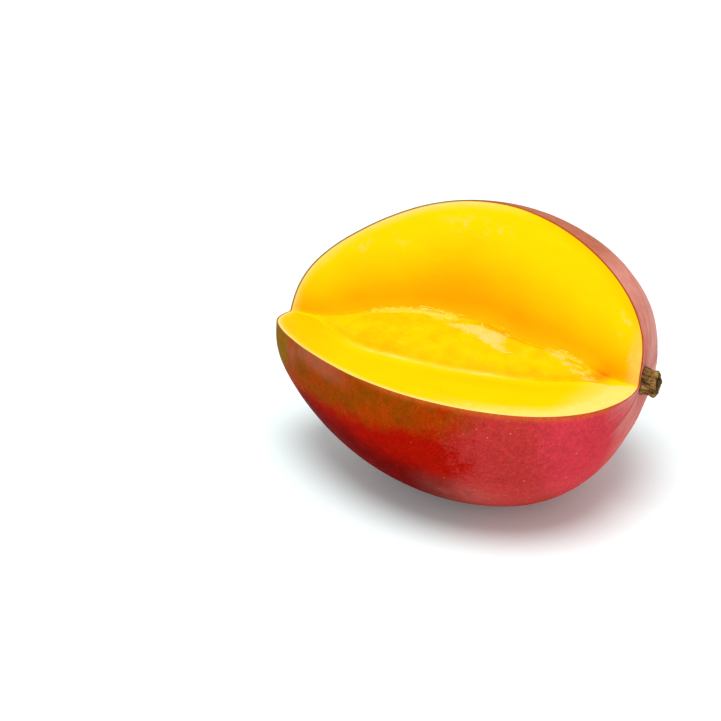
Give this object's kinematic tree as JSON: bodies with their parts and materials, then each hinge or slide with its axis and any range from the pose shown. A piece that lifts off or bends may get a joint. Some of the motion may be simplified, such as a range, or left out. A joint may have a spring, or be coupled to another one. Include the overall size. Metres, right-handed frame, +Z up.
{
  "type": "mango with a wedge cut out",
  "caption": "Ripe mango lying on its side, with a lengthwise wedge cut out that bares bright flesh and the fibrous hump over the stone, and a woody stem stub at one end",
  "frame": {"origin": "On the surface the fruit rests on, under the middle of the whole object's bounding box", "axes": "+X along the fruit's length to the stem, +Y to the uncut back, +Z up; the notch faces -Y and +Z"},
  "size_m": [0.1238, 0.0988, 0.0882],
  "materials": {
    "skin": "satin waxy fruit skin, crimson to orange with an olive tip, a dusty bloom and small pale dots",
    "flesh": "moist cut mango flesh, bright yellow turning orange near the stone, a pale line under the skin",
    "stem": "dry, ribbed, dull brown woody stem"
  },
  "bodies": {
    "root": {"mango_fruit": "skin", "stem_stub": "stem"}
  },
  "joints": []
}
